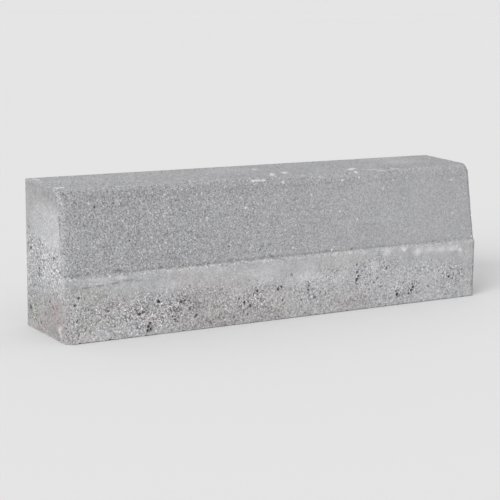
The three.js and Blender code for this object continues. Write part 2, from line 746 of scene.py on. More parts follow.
    def open_patches(self) -> Iterator[Spot]:
        """Where the concrete is most open.

        Yields:
            The patches of the front, of both ends and of the back.
        """
        for x, z, reach, stretch, strength in (
            (-330, 45, 52, 3.0, 0.9), (-235, 62, 34, 1.6, 0.9), (-75, 45, 44, 1.6, 1.0),
            (40, 55, 36, 1.6, 0.7), (30, 84, 22, 1.8, 0.7), (205, 66, 40, 1.5, 1.0),
            (-35, 68, 22, 2.2, 0.6), (110, 88, 18, 2.4, 0.6), (310, 34, 34, 1.6, 1.0),
            (340, 76, 30, 2.0, 0.8), (440, 58, 42, 1.5, 0.9),
        ):
            yield Spot((x, FRONT_Y, z), reach, stretch, strength)
        for side in (LEFT_X, RIGHT_X):
            yield Spot((side, 30 * side / LEFT_X, 145), 70)
            yield Spot((side, 70 * side / LEFT_X, 185), 45)
            yield Spot((side, -40, 140), 50, strength=0.8)
            yield Spot((side, 60, 40), 45, strength=0.6)
        for x, z, reach, stretch in ((-260, 90, 70, 2.2), (170, 200, 60, 2.0), (390, 70, 60, 1.4)):
            yield Spot((x, BACK_Y, z), reach, stretch, 0.6)

    def lime_and_highlight_marks(self) -> Iterator[Spot]:
        """White bloom below the ledge, pale skin elsewhere, and a painted highlight on one rim.

        Yields:
            The marks of the front, then those of the left end, its chamfer and the top.
        """
        for x, z, reach, stretch, strength in (
            (150, 128, 8, 2.0, 0.25), (188, 122, 11, 0.9, 0.45), (247, 121, 14, 1.4, 0.7),
            (294, 122, 9, 1.2, 1.0), (331, 114, 14, 1.3, 0.75), (364, 117, 12, 2.2, 0.45),
            (396, 114, 12, 2.6, 0.6), (428, 113, 12, 2.0, 0.65), (440, 117, 7, 1.2, 0.6),
            (449, 108, 9, 1.0, 0.8), (390, 116, 16, 4.0, 0.15), (-432, 122, 6, 5.0, 0.22),
            (-385, 122, 6, 4.0, 0.55), (-388, 130, 4, 1.2, 0.6), (-485, 128, 5, 1.6, 0.3),
            (-230, 122, 9, 9.0, 0.15), (-40, 118, 9, 6.0, 0.2), (120, 74, 34, 2.4, 0.25),
            (38, 82, 22, 2.5, 0.45), (215, 92, 20, 1.6, 0.25), (205, 60, 40, 1.1, 0.3),
            (275, 48, 26, 1.4, 0.15), (355, 62, 34, 3.0, 0.2), (-70, 104, 18, 5.0, 0.3),
            (-280, 98, 17, 3.6, 0.22), (-45, 46, 26, 1.6, 0.25), (-440, 12, 12, 5.0, 0.2),
            (350, 12, 12, 3.0, 0.22), (-360, 12, 14, 3.2, 0.2), (425, 50, 20, 2.6, 0.12),
            (40, 106, 12, 3.0, 0.2), (-358, 104, 9, 3.0, 0.2), (-430, 117, 5, 3.0, 0.3),
            (-250, 94, 14, 4.0, 0.14), (30, 44, 11, 2.4, 0.3), (30, 66, 10, 2.4, 0.25),
            (90, 76, 12, 2.2, 0.3), (-60, 88, 14, 4.0, 0.28), (150, 34, 10, 2.6, 0.2),
            (215, 76, 16, 2.0, 0.3), (210, 54, 14, 2.0, 0.32), (-385, 44, 9, 2.6, 0.16),
            (-250, 45, 8, 2.2, 0.25), (-160, 118, 9, 4.0, 0.28), (392, 6, 8, 3.6, 0.3),
            (-450, 5, 7, 5.0, 0.2),
        ):
            yield Spot((x, FRONT_Y, z), reach, stretch, strength)
        yield from (
            Spot((-484, -79, 218), 50, 0.3, 0.08),
            Spot((LEFT_X, -66, 24), 14, strength=0.6),
            Spot((LEFT_X, -72, 12), 12, strength=0.5),
            Spot((-481, FRONT_Y, 9), 12, 1.4, 0.16),
            Spot((-494, -94.5, 33), 9, 0.8, 0.3),
            # These two are a painted highlight down the left end's rim by the chamfer.
            Spot((LEFT_X, -68, 169), 6, strength=0.5),
            Spot((LEFT_X, -67, 158), 6, strength=0.5),
            Spot((LEFT_X, -56, 196), 30, strength=0.3),
            Spot((360, 75, 299), 40, 2.4, 0.12),
            Spot((370, 28, 297), 50, 1.5, 0.22),
            Spot((-60, 52, 298), 60, 2.2, 0.12),
            Spot((LEFT_X, 0, 165), 85, strength=0.13),
        )

    def scuff_and_highlight_marks(self) -> Iterator[Spot]:
        """Pale scuffs on the top and nose, pale specks on the batter, and a painted highlight on a
        rim.

        Yields:
            The scuffs, the specks and the highlight.
        """
        for x, y, z, reach, stretch, strength in (
            (-66, -61, 288.5, 4.6, 1.8, 0.85), (-56, -61, 288.5, 4.2, 2.6, 0.7),
            (-42, -61, 288.5, 3.9, 2.4, 0.75), (-10, -42, 294.9, 9.0, 0.85, 1.0),
            (-4, -33, 295.2, 9.0, 0.85, 1.0), (2, -24, 295.5, 9.0, 0.85, 1.0),
            (30, -28, 295.4, 10.0, 0.95, 1.0), (38, -16, 295.8, 10.0, 0.95, 1.0),
            (194, -32, 295.2, 10.5, 0.95, 1.0), (201, -27, 295.4, 10.5, 0.95, 1.0),
            (208, -24, 295.5, 10.5, 0.95, 1.0), (3, -66, 282, 5.2, 1.0, 0.75),
            (193, -55, 292.4, 6.2, 0.8, 1.0), (236, -46, 294, 6.0, 4.0, 0.45),
            (194, -66.3, 281.4, 3.6, 1.0, 0.6), (262, -55, 292, 4.0, 4.0, 0.35),
            (295, -51, 294, 7.0, 1.2, 0.4), (150, -67, 278, 3.8, 1.1, 0.8),
            (-7, 36, 297.7, 10.0, 0.9, 0.65), (0, 47, 298.1, 10.0, 0.9, 0.65),
            (-93, -75, 236, 4.0, 1.1, 0.9), (69, -72, 252, 3.4, 1.2, 0.75),
            (138, -79, 214, 3.0, 1.0, 1.0), (180, -83, 194, 3.3, 1.0, 0.65),
            (13, -91, 147, 3.6, 1.0, 0.8), (109, -93, 136, 3.4, 1.0, 1.0),
            (-183, -78, 222, 3.2, 1.2, 0.7), (-191, -69, 272, 2.6, 1.2, 0.8),
            (-370, -76, 229, 3.2, 1.2, 0.7), (-364, -52, 293, 3.0, 1.2, 0.7),
            (-280, -85, 180, 3.0, 1.2, 1.0), (-235, -66, 281, 2.8, 1.2, 0.6),
            (151, -75, 238, 2.4, 1.0, 0.6), (255, -72, 256, 3.2, 1.2, 0.65),
            (281, -69, 271, 3.2, 1.2, 0.5), (318, -68, 274, 3.4, 1.2, 0.5),
            (437, -83, 190, 4.0, 1.4, 0.45), (-274, -69, 274, 3.6, 1.0, 1.0),
            (-310, -83, 192, 3.4, 1.0, 0.9), (-438, -70, 266, 3.2, 1.0, 0.8),
            (14, -87, 170, 3.2, 1.0, 0.8), (442, -71, 263, 3.6, 1.0, 0.7),
            (-2, -84, 184, 3.2, 1.0, 0.7), (-70, -91, 152, 3.0, 1.0, 0.6),
            (-238, -91, 148, 3.0, 1.0, 0.7), (486, -93, 135, 4.0, 0.8, 1.0),
            (-488, -34, 295, 11.0, 0.7, 1.0), (-477, -32, 295.2, 11.0, 0.7, 1.0),
            # From (-486, 77, 299) on: a painted highlight on the rim of the left end and the top.
            (-491, -65.5, 269.5, 4.6, 1.0, 1.0), (-486, 77, 299, 20.0, 0.5, 0.6),
            (-488, 46, 298, 14.0, 0.5, 0.4),
        ):
            yield Spot((x, y, z), reach, stretch, strength, 0.7)

    def grime_patches(self) -> Iterator[Spot]:
        """Where the surface is broadly darker.

        Yields:
            The patches of the front and of the back.
        """
        for x, z, reach, stretch, strength in (
            (-70, 12, 46, 2.6, 0.12), (-185, 14, 28, 3.0, 0.14), (-470, 106, 12, 3.5, 0.12),
            (480, 74, 28, 1.0, 0.08), (-400, 82, 26, 3.0, 0.1), (-395, 106, 12, 5.0, 0.1),
            (-215, 50, 28, 2.2, 0.2), (-120, 12, 12, 3.4, 0.1), (150, 24, 20, 6.0, 0.09),
            (120, 58, 14, 2.6, 0.1), (395, 104, 12, 5.0, 0.07), (-472, 121, 7, 3.0, 0.1),
            (-452, 75, 12, 2.4, 0.14), (-270, 24, 9, 3.0, 0.14), (-155, 45, 16, 2.2, 0.12),
            (-95, 14, 9, 2.4, 0.12), (450, 84, 14, 2.4, 0.12), (445, 14, 9, 3.0, 0.14),
            (320, 104, 8, 4.0, 0.12), (212, 22, 8, 2.6, 0.12), (445, 104, 9, 2.4, 0.12),
            (-165, 14, 9, 3.0, 0.14), (485, 36, 20, 0.8, 0.16),
        ):
            yield Spot((x, FRONT_Y, z), reach, stretch, strength)
        for x, z, reach, stretch in ((-380, 240, 70, 2.0), (60, 60, 80, 3.0), (360, 220, 60, 2.0)):
            yield Spot((x, BACK_Y, z), reach, stretch, 0.16)

    def warm_patches(self) -> tuple[Spot, ...]:
        """Where the surface is faintly reddish.

        Returns:
            The patches, most of them low on the left end and the front.
        """
        return (
            Spot((LEFT_X, -50, 45), 80),
            Spot((LEFT_X, 20, 0), 75),
            Spot((LEFT_X, 25, 268), 42, strength=0.4),
            Spot((-470, FRONT_Y, 8), 30, 1.6, 0.6),
            Spot((-185, FRONT_Y, 8), 20, 3.0, 0.5),
            Spot((-240, FRONT_Y, 112), 24, 2.0, 0.3),
            Spot((LEFT_X, -75, 14), 50, strength=0.45),
            Spot((LEFT_X, 88, 10), 34, strength=0.6),
            Spot((-160, FRONT_Y, 36), 64, 5.0, 0.44),
            Spot((-170, FRONT_Y, 86), 30, 5.0, 0.38),
            Spot((-400, FRONT_Y, 62), 48, 2.6, 0.34),
            Spot((140, FRONT_Y, 20), 46, 3.0, 0.36),
            Spot((130, FRONT_Y, 84), 22, 1.8, 0.3),
            Spot((RIGHT_X, 30, 40), 60, strength=0.6),
            Spot((486, -99, 36), 24, 0.8, 0.4),
            Spot((120, BACK_Y, 60), 70, 2.0, 0.4),
        )

    def olive_patches(self) -> tuple[Spot, ...]:
        """Where the surface is faintly green.

        Returns:
            The patches of the left end, the front and the back.
        """
        return (
            Spot((LEFT_X, 62, 32), 42, strength=0.8),
            Spot((-450, FRONT_Y, 92), 34, 1.5, 0.55),
            Spot((-440, FRONT_Y, 35), 30, 2.4, 0.25),
            Spot((-20, FRONT_Y, 22), 26, 2.0, 0.4),
            Spot((120, FRONT_Y, 112), 28, 2.2, 0.4),
            Spot((-300, BACK_Y, 40), 60, 2.4, 0.35),
        )


@dataclass(frozen=True)
class OpenMix:
    """What makes up the openness of one face.

    Attributes:
        plain: How open it is everywhere.
        cloudy: How much its clouds add.
        placed: How much the placed patches add.
    """

    plain: float
    cloudy: float
    placed: float

    def share(self, cloud: float, patch: float) -> float:
        """How open the face is where a cloud and a placed patch have these shares."""
        return min(1.0, self.plain + self.cloudy * cloud + self.placed * patch)


@dataclass(frozen=True)
class Texture:
    """How open, how coarse and how bare the concrete is from place to place.

    Attributes:
        form: The stone's form.
        honeycomb: The placed patches of open concrete.
        cloudiness: How many clouds of openness go in a metre.
        end_mix, front_mix, bed_mix, back_mix: What makes up the openness of each face.
        end_open: By height, how far the ends are open.
        front_edge: The height up to which the front is open.
        front_wander, wander_rate: How far that edge wanders, and how many times in a metre.
        front_lift, front_drop: Along the stone, where that edge climbs and comes down again.
        edge_below, edge_above: From where to where, from that edge, the texture closes.
        foot_lip: By height, how the front opens above its denser foot.
        calm_end: Along the stone, how much of the openness is left at the front's right end.
        cast_grit, open_grit, batter_grit: Along the stone, the grain of each kind of surface.
        top_grit, top_tilt: The grain of the top, and how it takes over as the nose turns up.
        skin_end: How far below the ledge's root the cement skin ends.
        top_skin, top_skin_tilt: The skin of the top, along the stone and as the nose turns up.
    """

    form: KerbForm
    honeycomb: Spots
    cloudiness: float = 18.0
    end_mix: OpenMix = OpenMix(0.15, 0.4, 1.0)
    front_mix: OpenMix = OpenMix(0.2, 0.6, 0.6)
    bed_mix: OpenMix = OpenMix(0.0, 0.7, 0.0)
    back_mix: OpenMix = OpenMix(0.0, 0.15, 0.7)
    end_open: Ramp = Ramp(0.16, 0.22, 1.0, 0.0)
    front_edge: float = 89 * MM
    front_wander: float = 30 * MM
    wander_rate: float = 9.0
    front_lift: Ramp = Ramp(-0.02, 0.04, 0.0, 12 * MM)
    front_drop: Ramp = Ramp(0.27, 0.33, 0.0, 12 * MM)
    edge_below: float = 30 * MM
    edge_above: float = 12 * MM
    foot_lip: Ramp = Ramp(0.0, 0.008)
    calm_end: Ramp = Ramp(0.45, 0.47, 1.0, 0.55)
    cast_grit: Ramp = Ramp(-0.4, 0.3, 0.3, 0.22)
    open_grit: Ramp = Ramp(-0.35, 0.0, 1.0, 0.8)
    batter_grit: Ramp = Ramp(-0.35, 0.4, 0.58, 0.29)
    top_grit: float = 0.52
    top_tilt: Ramp = Ramp(0.3, 0.95, 0.0, 0.8)
    skin_end: float = 1.4 * MM
    top_skin: Ramp = Ramp(-0.35, 0.0, 0.45, 0.2)
    top_skin_tilt: Ramp = Ramp(0.5, 0.95)

    def openness(self, place: Vector, normal: Vector) -> float:
        """How open the concrete is.

        Args:
            place: A place on the cast surface, in metres.
            normal: The surface's outward normal there.

        Returns:
            A share from 0 for skin to 1 for honeycomb.
        """
        cloud = 0.5 + 0.5 * noise.noise(place * self.cloudiness + Vector((3.1, 7.7, 1.9)))
        patch = self.honeycomb.share(place)
        if self.form.on_end(normal):
            return self.end_open.at(place.z) * self.end_mix.share(cloud, patch)
        if self.form.on_lower_front(place, normal):
            lip = self.foot_lip.at(place.z) * self.calm_end.at(place.x)
            return self.front_band(place) * lip * self.front_mix.share(cloud, patch)
        if self.form.on_bed(normal):
            return self.bed_mix.share(cloud, patch)
        if self.form.on_back(normal):
            return self.back_mix.share(cloud, patch)
        return 0.0

    def front_band(self, place: Vector) -> float:
        """How far a place on the front is inside its open band, below the wandering edge.

        Args:
            place: A place on the lower front, in metres.

        Returns:
            A share from 0 above the band to 1 in it.
        """
        wander = noise.noise(Vector((place.x * self.wander_rate, 0.4, 2.2)))
        edge = self.front_edge + self.front_wander * wander
        edge += self.front_lift.at(place.x) - self.front_drop.at(place.x)
        return 1.0 - ease(place.z, edge - self.edge_below, edge + self.edge_above)

    def grit(self, place: Vector, normal: Vector, openness: float) -> float:
        """How coarse the bare grain is.

        Args:
            place: A place on the cast surface, in metres.
            normal: The surface's outward normal there.
            openness: How open the concrete is there.

        Returns:
            A share from 0 for smooth to 1 for coarse.
        """
        if self.form.keeps_skin(normal) or self.form.on_lower_front(place, normal):
            plain = self.cast_grit.at(place.x)
            return plain + (self.open_grit.at(place.x) - plain) * openness
        batter = self.batter_grit.at(place.x)
        return batter + (self.top_grit - batter) * self.top_tilt.at(normal.z)

    def skin(self, place: Vector, normal: Vector) -> float:
        """How much smooth cement skin covers the stone.

        Args:
            place: A place on the cast surface, in metres.
            normal: The surface's outward normal there.

        Returns:
            A share from 0 for bare sand to 1 for whole skin.
        """
        if self.form.keeps_skin(normal) or place.z < self.form.root_height - self.skin_end:
            return 1.0
        return self.top_skin.at(place.x) * self.top_skin_tilt.at(normal.z)


@dataclass(frozen=True)
class EndDustAndShade:
    """Dust on an end face, in a grimy foot, a darker top and back, and painted shade by the front.

    Attributes:
        chamfer: The width of the front's end chamfers, in metres.
        foot: By height, the foot.
        top, top_across: By height and from front to back, the top.
        back, back_across: By height and from front to back, the back.
        corner, corner_across: By height and from front to back, the upper part of the back.
        corner_change: By height, how much more dust lies there, as a share of the back's own.
        rim_width: By how many chamfer widths behind the front, the rim of painted shade.
        rim_foot: By height, where the rim starts.
        rim_low, rim_high: By height, its lower and its upper part.
    """

    chamfer: float
    foot: Ramp = Ramp(0.05, 0.125, 0.27, 0.0)
    top: Ramp = Ramp(0.242, 0.282)
    top_across: Ramp = Ramp(-0.05, 0.05, 0.36, 0.24)
    back: Ramp = Ramp(0.06, 0.16)
    back_across: Ramp = Ramp(-0.05, 0.08, 0.0, 0.09)
    corner: Ramp = Ramp(0.19, 0.22)
    corner_across: Ramp = Ramp(0.05, 0.08)
    corner_change: Ramp = Ramp(0.25, 0.27, 1.0, -0.6)
    rim_width: Ramp = Ramp(1.1, 1.75, 1.0, 0.0)
    rim_foot: Ramp = Ramp(0.12, 0.14)
    rim_low: Ramp = Ramp(0.19, 0.215, 0.25, 0.0)
    rim_high: Ramp = Ramp(0.245, 0.26, 0.0, 0.2)

    def share(self, place: Vector, from_front: float) -> float:
        """How much dust and painted shade lie on an end.

        Args:
            place: A place on it, in metres.
            from_front: How far behind the sharp front of the full section it is, in metres.

        Returns:
            The share of dust and painted shade.
        """
        top = self.top_across.at(place.y) * self.top.at(place.z)
        corner = self.corner_across.at(place.y) * self.corner.at(place.z)
        back = self.back_across.at(place.y) * self.back.at(place.z)
        back *= 1.0 + corner * self.corner_change.at(place.z)
        # The rim by the front is painted shade, where the lit end face gives way to the chamfer.
        rim = self.rim_width.at(from_front / self.chamfer) * self.rim_foot.at(place.z)
        rim *= self.rim_low.at(place.z) + self.rim_high.at(place.z)
        return self.foot.at(place.z) + top + back + rim


@dataclass(frozen=True)
class FrontDustAndShade:
    """Dust above the lower front, on the leaning face, its chamfers, the ledge and the nose,
    with painted shade in the crease at the ledge's root and on the chamfers.

    Attributes:
        root_height: The height of the ledge's root, in metres.
        batter, batter_along: Above the root and along the stone, a film on the leaning face.
        crease, crease_over: Above the root, the crease's painted shade and dirt, and its upper
            edge.
        crease_left, crease_right: Along the stone, how plain the crease is.
        left_ledge, left_along: Above the root and along the stone, grime on the ledge's left end.
        right_ledge, right_along: The same on its right end.
        ledge_over: Above the root, the upper edge of both.
        nose, nose_tilt: By height and as the surface turns up, a film on the nose.
        by_end, to_end: From the middle outwards, where a chamfer starts and runs out.
        chamfer_over: Above the root, where the painted shade on a chamfer starts.
        chamfer_low, chamfer_high: Above the root and by height, how much of it there is.
    """

    root_height: float
    batter: Ramp = Ramp(-0.002, 0.0)
    batter_along: Ramp = Ramp(-0.4, 0.3, 0.062, 0.0)
    crease: Ramp = Ramp(-0.0024, -0.0004, 0.0, 0.165)
    crease_over: Ramp = Ramp(0.001, 0.005, 1.0, 0.0)
    crease_left: Ramp = Ramp(-0.29, -0.19, 0.5, 1.0)
    crease_right: Ramp = Ramp(0.24, 0.32, 1.0, 0.5)
    left_ledge: Ramp = Ramp(-0.0065, -0.0045)
    left_along: Ramp = Ramp(-0.38, -0.33, 0.14, 0.0)
    right_ledge: Ramp = Ramp(-0.005, -0.003)
    right_along: Ramp = Ramp(0.31, 0.35, 0.0, 0.13)
    ledge_over: Ramp = Ramp(-0.0015, 0.0005, 1.0, 0.0)
    nose: Ramp = Ramp(0.265, 0.275, 0.0, 0.07)
    nose_tilt: Ramp = Ramp(0.6, 0.95, 1.0, 0.0)
    by_end: Ramp = Ramp(0.488, 0.492)
    to_end: Ramp = Ramp(0.4885, 0.4985, 1.0, 0.0)
    chamfer_over: Ramp = Ramp(-0.002, 0.002)
    chamfer_low: Ramp = Ramp(0.015, 0.05, 0.25, 0.15)
    chamfer_high: Ramp = Ramp(0.26, 0.28, 0.0, -0.1)

    def share(self, place: Vector, normal: Vector) -> float:
        """How much dust and painted shade lie on the front above the ledge's arris.

        Args:
            place: A place on it, in metres.
            normal: The surface's outward normal there.

        Returns:
            The share of dust and painted shade.
        """
        above = place.z - self.root_height
        out = abs(place.x)
        by_end = self.by_end.at(out)
        batter = self.batter_along.at(place.x) * self.batter.at(above)
        # The crease at the ledge's root is painted shade, partly dirt.
        crease = self.crease.at(above) * self.crease_over.at(above)
        crease *= self.crease_left.at(place.x) * self.crease_right.at(place.x)
        ledge = self.left_along.at(place.x) * self.left_ledge.at(above)
        ledge += self.right_along.at(place.x) * self.right_ledge.at(above)
        ledge *= self.ledge_over.at(above)
        nose = self.nose.at(place.z) * self.nose_tilt.at(normal.z) * (1.0 - by_end)
        # The chamfers are painted with shade, where the lit end gives way to the front.
        chamfer = by_end * self.to_end.at(out) * self.chamfer_over.at(above)
        chamfer *= self.chamfer_low.at(above) + self.chamfer_high.at(place.z)
        return batter + crease + ledge + nose + chamfer


@dataclass(frozen=True)
class DustAndPaintedLight:
    """Where dust, grime, painted shade and painted highlights lie on the stone.

    Attributes:
        form: The stone's form.
        grime: The placed patches of grime.
        end_dust_and_shade: The dust and painted shade of the end faces.
        front_dust_and_shade: The dust and painted shade of the front above the ledge's arris.
        darkest_depth: The depth at which the painted shade in a hollow is darkest, in metres.
        pale_foot, pale_foot_out: By height and from the middle outwards, how far the hollows of
            the worn foot stay pale.
        pale_rim: From the middle outwards, how far those of the worn end rims do.
        lower_end: From the middle outwards, the dust on the lower chamfers.
        top_film: The dust on the front part of the top, and on all of its middle and right.
        top_along, top_across: Where that is, along the stone and from front to back.
        top_right: Along the stone, what the front part of the top has more on the right.
        painted_rim_highlight: From the middle outwards, the painted highlight on the worn end rims.
        rim_highlight_rate: How many patches of that highlight go in a metre.
    """

    form: KerbForm
    grime: Spots
    end_dust_and_shade: EndDustAndShade
    front_dust_and_shade: FrontDustAndShade
    darkest_depth: float = 4.4 * MM
    pale_foot: Ramp = Ramp(0.006, 0.01, 1.0, 0.0)
    pale_foot_out: Ramp = Ramp(0.1, 0.3, 0.45, 1.0)
    pale_rim: Ramp = Ramp(0.494, 0.498, 0.0, 0.3)
    lower_end: Ramp = Ramp(0.487, 0.492, 0.0, 0.25)
    top_film: float = 0.025
    top_along: Ramp = Ramp(-0.4, 0.0)
    top_across: Ramp = Ramp(-0.03, 0.01, 1.0, 0.0)
    top_right: Ramp = Ramp(0.2, 0.3, 0.0, 0.05)
    painted_rim_highlight: Ramp = Ramp(0.4965, 0.4985, 0.0, 0.18)
    rim_highlight_rate: float = 40.0

    def hollow(self, place: Vector, depth: float, worn: float) -> float:
        """How dark a hollow is painted: painted shade that grows with its depth.

        Args:
            place: Where it is on the cast surface, in metres.
            depth: How deep it goes, in metres.
            worn: How worn the arris is there.

        Returns:
            The painted shade's share.
        """
        foot = self.pale_foot.at(place.z) * self.pale_foot_out.at(abs(place.x))
        rim = self.pale_rim.at(abs(place.x))
        return depth / self.darkest_depth * (1.0 - worn * max(foot, rim))

    def lying_dust_and_shade(self, place: Vector, normal: Vector) -> float:
        """How much dust, grime and painted shade lies on the surface, away from the hollows.

        Args:
            place: A place on the cast surface, in metres.
            normal: The surface's outward normal there.

        Returns:
            The share of dust, grime and painted shade.
        """
        if self.form.on_end(normal):
            return self.end_dust_and_shade.share(place, place.y - self.form.front_at(place.z))
        if self.form.on_lower_front(place, normal):
            return self.grime.share(place) + self.lower_end.at(abs(place.x))
        if self.form.on_top(normal):
            front = self.top_across.at(place.y)
            film = self.top_film * max(self.top_along.at(place.x), front)
            return film + self.top_right.at(place.x) * front
        if self.form.on_front(normal):
            return self.front_dust_and_shade.share(place, normal)
        return self.grime.share(place)

    def rim_highlight(self, place: Vector, worn: float) -> float:
        """How pale a painted highlight makes the worn rim of an end at a place."""
        patch = 0.5 + 0.5 * noise.noise(place * self.rim_highlight_rate)
        return self.painted_rim_highlight.at(abs(place.x)) * worn * patch


@dataclass(frozen=True)
class ArrisWear:
    """How far handling has worn the stone's arrises.

    Attributes:
        angle: The least angle between two faces that makes an arris, in radians.
        reach: By its distance from an arris, how much of the wear reaches a place.
        back: From front to back, what the back of the top is spared.
        back_top, back_left: By height and along the stone, where that is.
        ledge: From the middle outwards, what the ledge is spared.
        ledge_low, ledge_high: By height, where that is.
        ledge_front: From front to back, where that is.
    """

    angle: float = math.radians(12.0)
    reach: Ramp = Ramp(0.0, 5.0 * MM, 1.0, 0.0)
    back: Ramp = Ramp(0.09, 0.095, 0.0, 0.8)
    back_top: Ramp = Ramp(0.28, 0.29)
    back_left: Ramp = Ramp(-0.49, -0.48, 1.0, 0.0)
    ledge: Ramp = Ramp(0.46, 0.48, 0.55, 0.0)
    ledge_low: Ramp = Ramp(0.11, 0.115)
    ledge_high: Ramp = Ramp(0.134, 0.138, 1.0, 0.0)
    ledge_front: Ramp = Ramp(-0.09, -0.085, 1.0, 0.0)

    def shares(self, stone: bpy.types.Object, places: list[Vector]) -> list[float]:
        """How much of the wear reaches each vertex.

        Args:
            stone: The moulded stone.
            places: Where its vertices are.

        Returns:
            A share from 0 to 1 for each vertex.
        """
        shape = bmesh.new()
        shape.from_mesh(stone.data)
        corners = {
            vertex.index
            for edge in shape.edges
            if edge.calc_face_angle(0.0) > self.angle
            for vertex in edge.verts
        }
        shape.free()
        tree = KDTree(len(corners))
        for index in corners:
            tree.insert(places[index], index)
        tree.balance()
        return [
            self.reach.at(tree.find(place)[2]) * (1.0 - self.spared(place)) for place in places
        ]

    def spared(self, place: Vector) -> float:
        """How much of the wear a place is spared, at the back of the top and on the ledge.

        Args:
            place: A place on the cast surface, in metres.

        Returns:
            A share from 0 to 1.
        """
        at_back = self.back.at(place.y)
        at_back *= max(self.back_top.at(place.z), self.back_left.at(place.x))
        on_ledge = self.ledge_low.at(place.z) * self.ledge_high.at(place.z)
        on_ledge *= self.ledge.at(abs(place.x)) * self.ledge_front.at(place.y)
        return max(at_back, on_ledge)


@dataclass
class Weathering:
    """What casting, handling and rain left on the stone, and its painted shade and highlights,
    kept as relief and as shares.

    Attributes:
        form: The stone's form.
        marks: Its pits, patches, marks and stains.
        wear: The wear of its arrises.
        texture: Its open, coarse and bare places.
        dust_and_painted_light: Its dust and grime, its painted shade and its painted highlights.
        arris_spacing: The longest edge that the mesh keeps near an arris, in metres.
        open_spacing: The longest that it keeps in open texture and in marks.
        pit_spacing: The longest that it keeps in the plain pits.
        step_spacing: The longest that it keeps round the marks, as a step to the coarse mesh.
        arris_margin: How near to an arris, in metres, the mesh is finer.
        mark_margin: How near to a mark it is.
        step_margin: How far round the marks that step goes.
        open_end: The height up to which the ends may be open.
        open_front: How far above the ledge's root the open texture's mesh goes.
        group_steps: How many steps of a share a vertex group tells apart.
    """

    form: KerbForm
    marks: Marks = field(default_factory=Marks)
    wear: ArrisWear = field(default_factory=ArrisWear)
    texture: Texture = field(init=False)
    dust_and_painted_light: DustAndPaintedLight = field(init=False)
    arris_spacing: float = 4.0 * MM
    open_spacing: float = 2.0 * MM
    pit_spacing: float = 1.1 * MM
    step_spacing: float = 8.0 * MM
    arris_margin: float = 5.0 * MM
    mark_margin: float = 1.5 * MM
    step_margin: float = 8.0 * MM
    open_end: float = 205 * MM
    open_front: float = 6.5 * MM
    group_steps: int = 40

    def __post_init__(self) -> None:
        """Fits the texture, and the dust and painted light, to the form and the marks."""
        end_dust_and_shade = EndDustAndShade(self.form.end_chamfer)
        front_dust_and_shade = FrontDustAndShade(self.form.root_height)
        self.texture = Texture(self.form, self.marks.honeycomb)
        self.dust_and_painted_light = DustAndPaintedLight(self.form, self.marks.grime, end_dust_and_shade, front_dust_and_shade)

    def zones(self) -> tuple[Zone, ...]:
        """The zones that carry relief or marks.

        Returns:
            The zones, coarse ones first.
        """
        pits = self.marks.pits
        step = self.step_margin
        close = self.mark_margin
        return (
            Zone("arris", self.arris_spacing, self.by_arris),
            Zone("open", self.open_spacing, self.textured),
            Zone("around marks", self.step_spacing, lambda at, normal: self.marked(at, step)),
            Zone("marked", self.open_spacing, lambda at, normal: self.marked(at, close)),
            Zone("pits", self.pit_spacing, lambda at, normal: pits.near(at, 0.0)),
        )

    def by_arris(self, centre: Vector, normal: Vector) -> bool:
        """Whether a face is on the ends or their chamfers, or near an arris of the bed or the back.

        Args:
            centre: The face's centre, in metres.
            normal: Its outward normal.

        Returns:
            Whether it is.
        """
        upright = abs(centre.y) > self.form.back - self.arris_margin
        foot = centre.z < self.arris_margin
        level = foot or centre.z > self.form.height - self.arris_margin
        return abs(normal.x) > 0.5 or (upright and level)

    def textured(self, centre: Vector, normal: Vector) -> bool:
        """Whether a face is where the concrete may be open.

        Args:
            centre: The face's centre, in metres.
            normal: Its outward normal.

        Returns:
            Whether it is.
        """
        if self.form.on_end(normal):
            return centre.z < self.open_end
        return self.form.to_road(normal) and centre.z < self.form.root_height + self.open_front

    def marked(self, centre: Vector, margin: float) -> bool:
        """Whether a place is within a margin, in metres, of a pit or a scuff."""
        marks = (self.marks.pits, self.marks.small_pits, self.marks.scuffs_and_highlights)
        return any(spots.near(centre, margin) for spots in marks)

    def weather(self, stone: bpy.types.Object) -> None:
        """Presses all relief into the stone and keeps the shares that its finish reads.

        Args:
            stone: The moulded stone.
        """
        marks = self.marks
        places = [vertex.co.copy() for vertex in stone.data.vertices]
        normals = [vertex.normal.copy() for vertex in stone.data.vertices]
        openness = [self.texture.openness(*pair) for pair in zip(places, normals)]
        wear = self.wear.shares(stone, places)
        pitted = [max(marks.pits.share(at), marks.small_pits.share(at)) for at in places]
        self.group(stone, "open", openness)
        self.group(stone, "arris", wear)
        self.group(stone, "pitted", pitted)
        for relief in self.reliefs():
            relief.press(stone)
        self.hold_in(stone, places, normals)
        depths = [
            (place - vertex.co).dot(normal)
            for place, normal, vertex in zip(places, normals, stone.data.vertices)
        ]
        # Dust and grime, with painted shade in the hollows by their depth, at the ledge's root, on
        # the end rims and on the chamfers.
        darkening = [
            self.dust_and_painted_light.hollow(place, depth, worn) + self.dust_and_painted_light.lying_dust_and_shade(place, normal)
            for place, normal, depth, worn in zip(places, normals, depths, wear)
        ]
        grit = [
            self.texture.grit(place, normal, share)
            for place, normal, share in zip(places, normals, openness)
        ]
        # Pale bloom and scuffs, with painted highlights on the end rims.
        bloom_and_highlight = [
            max(marks.bloom_and_highlight.share(at), marks.scuffs_and_highlights.share(at), self.dust_and_painted_light.rim_highlight(at, worn))
            for at, worn in zip(places, wear)
        ]
        skin = [self.texture.skin(*pair) for pair in zip(places, normals)]
        self.note(stone, "dust_and_shade_share", darkening)
        self.note(stone, "open_share", openness)
        self.note(stone, "grit_share", grit)
        self.note(stone, "skin_share", skin)
        self.note(stone, "bloom_and_highlight_share", bloom_and_highlight)
        self.note(stone, "warm_share", [marks.warm_stain.share(place) for place in places])
        self.note(stone, "olive_share", [marks.olive_stain.share(place) for place in places])

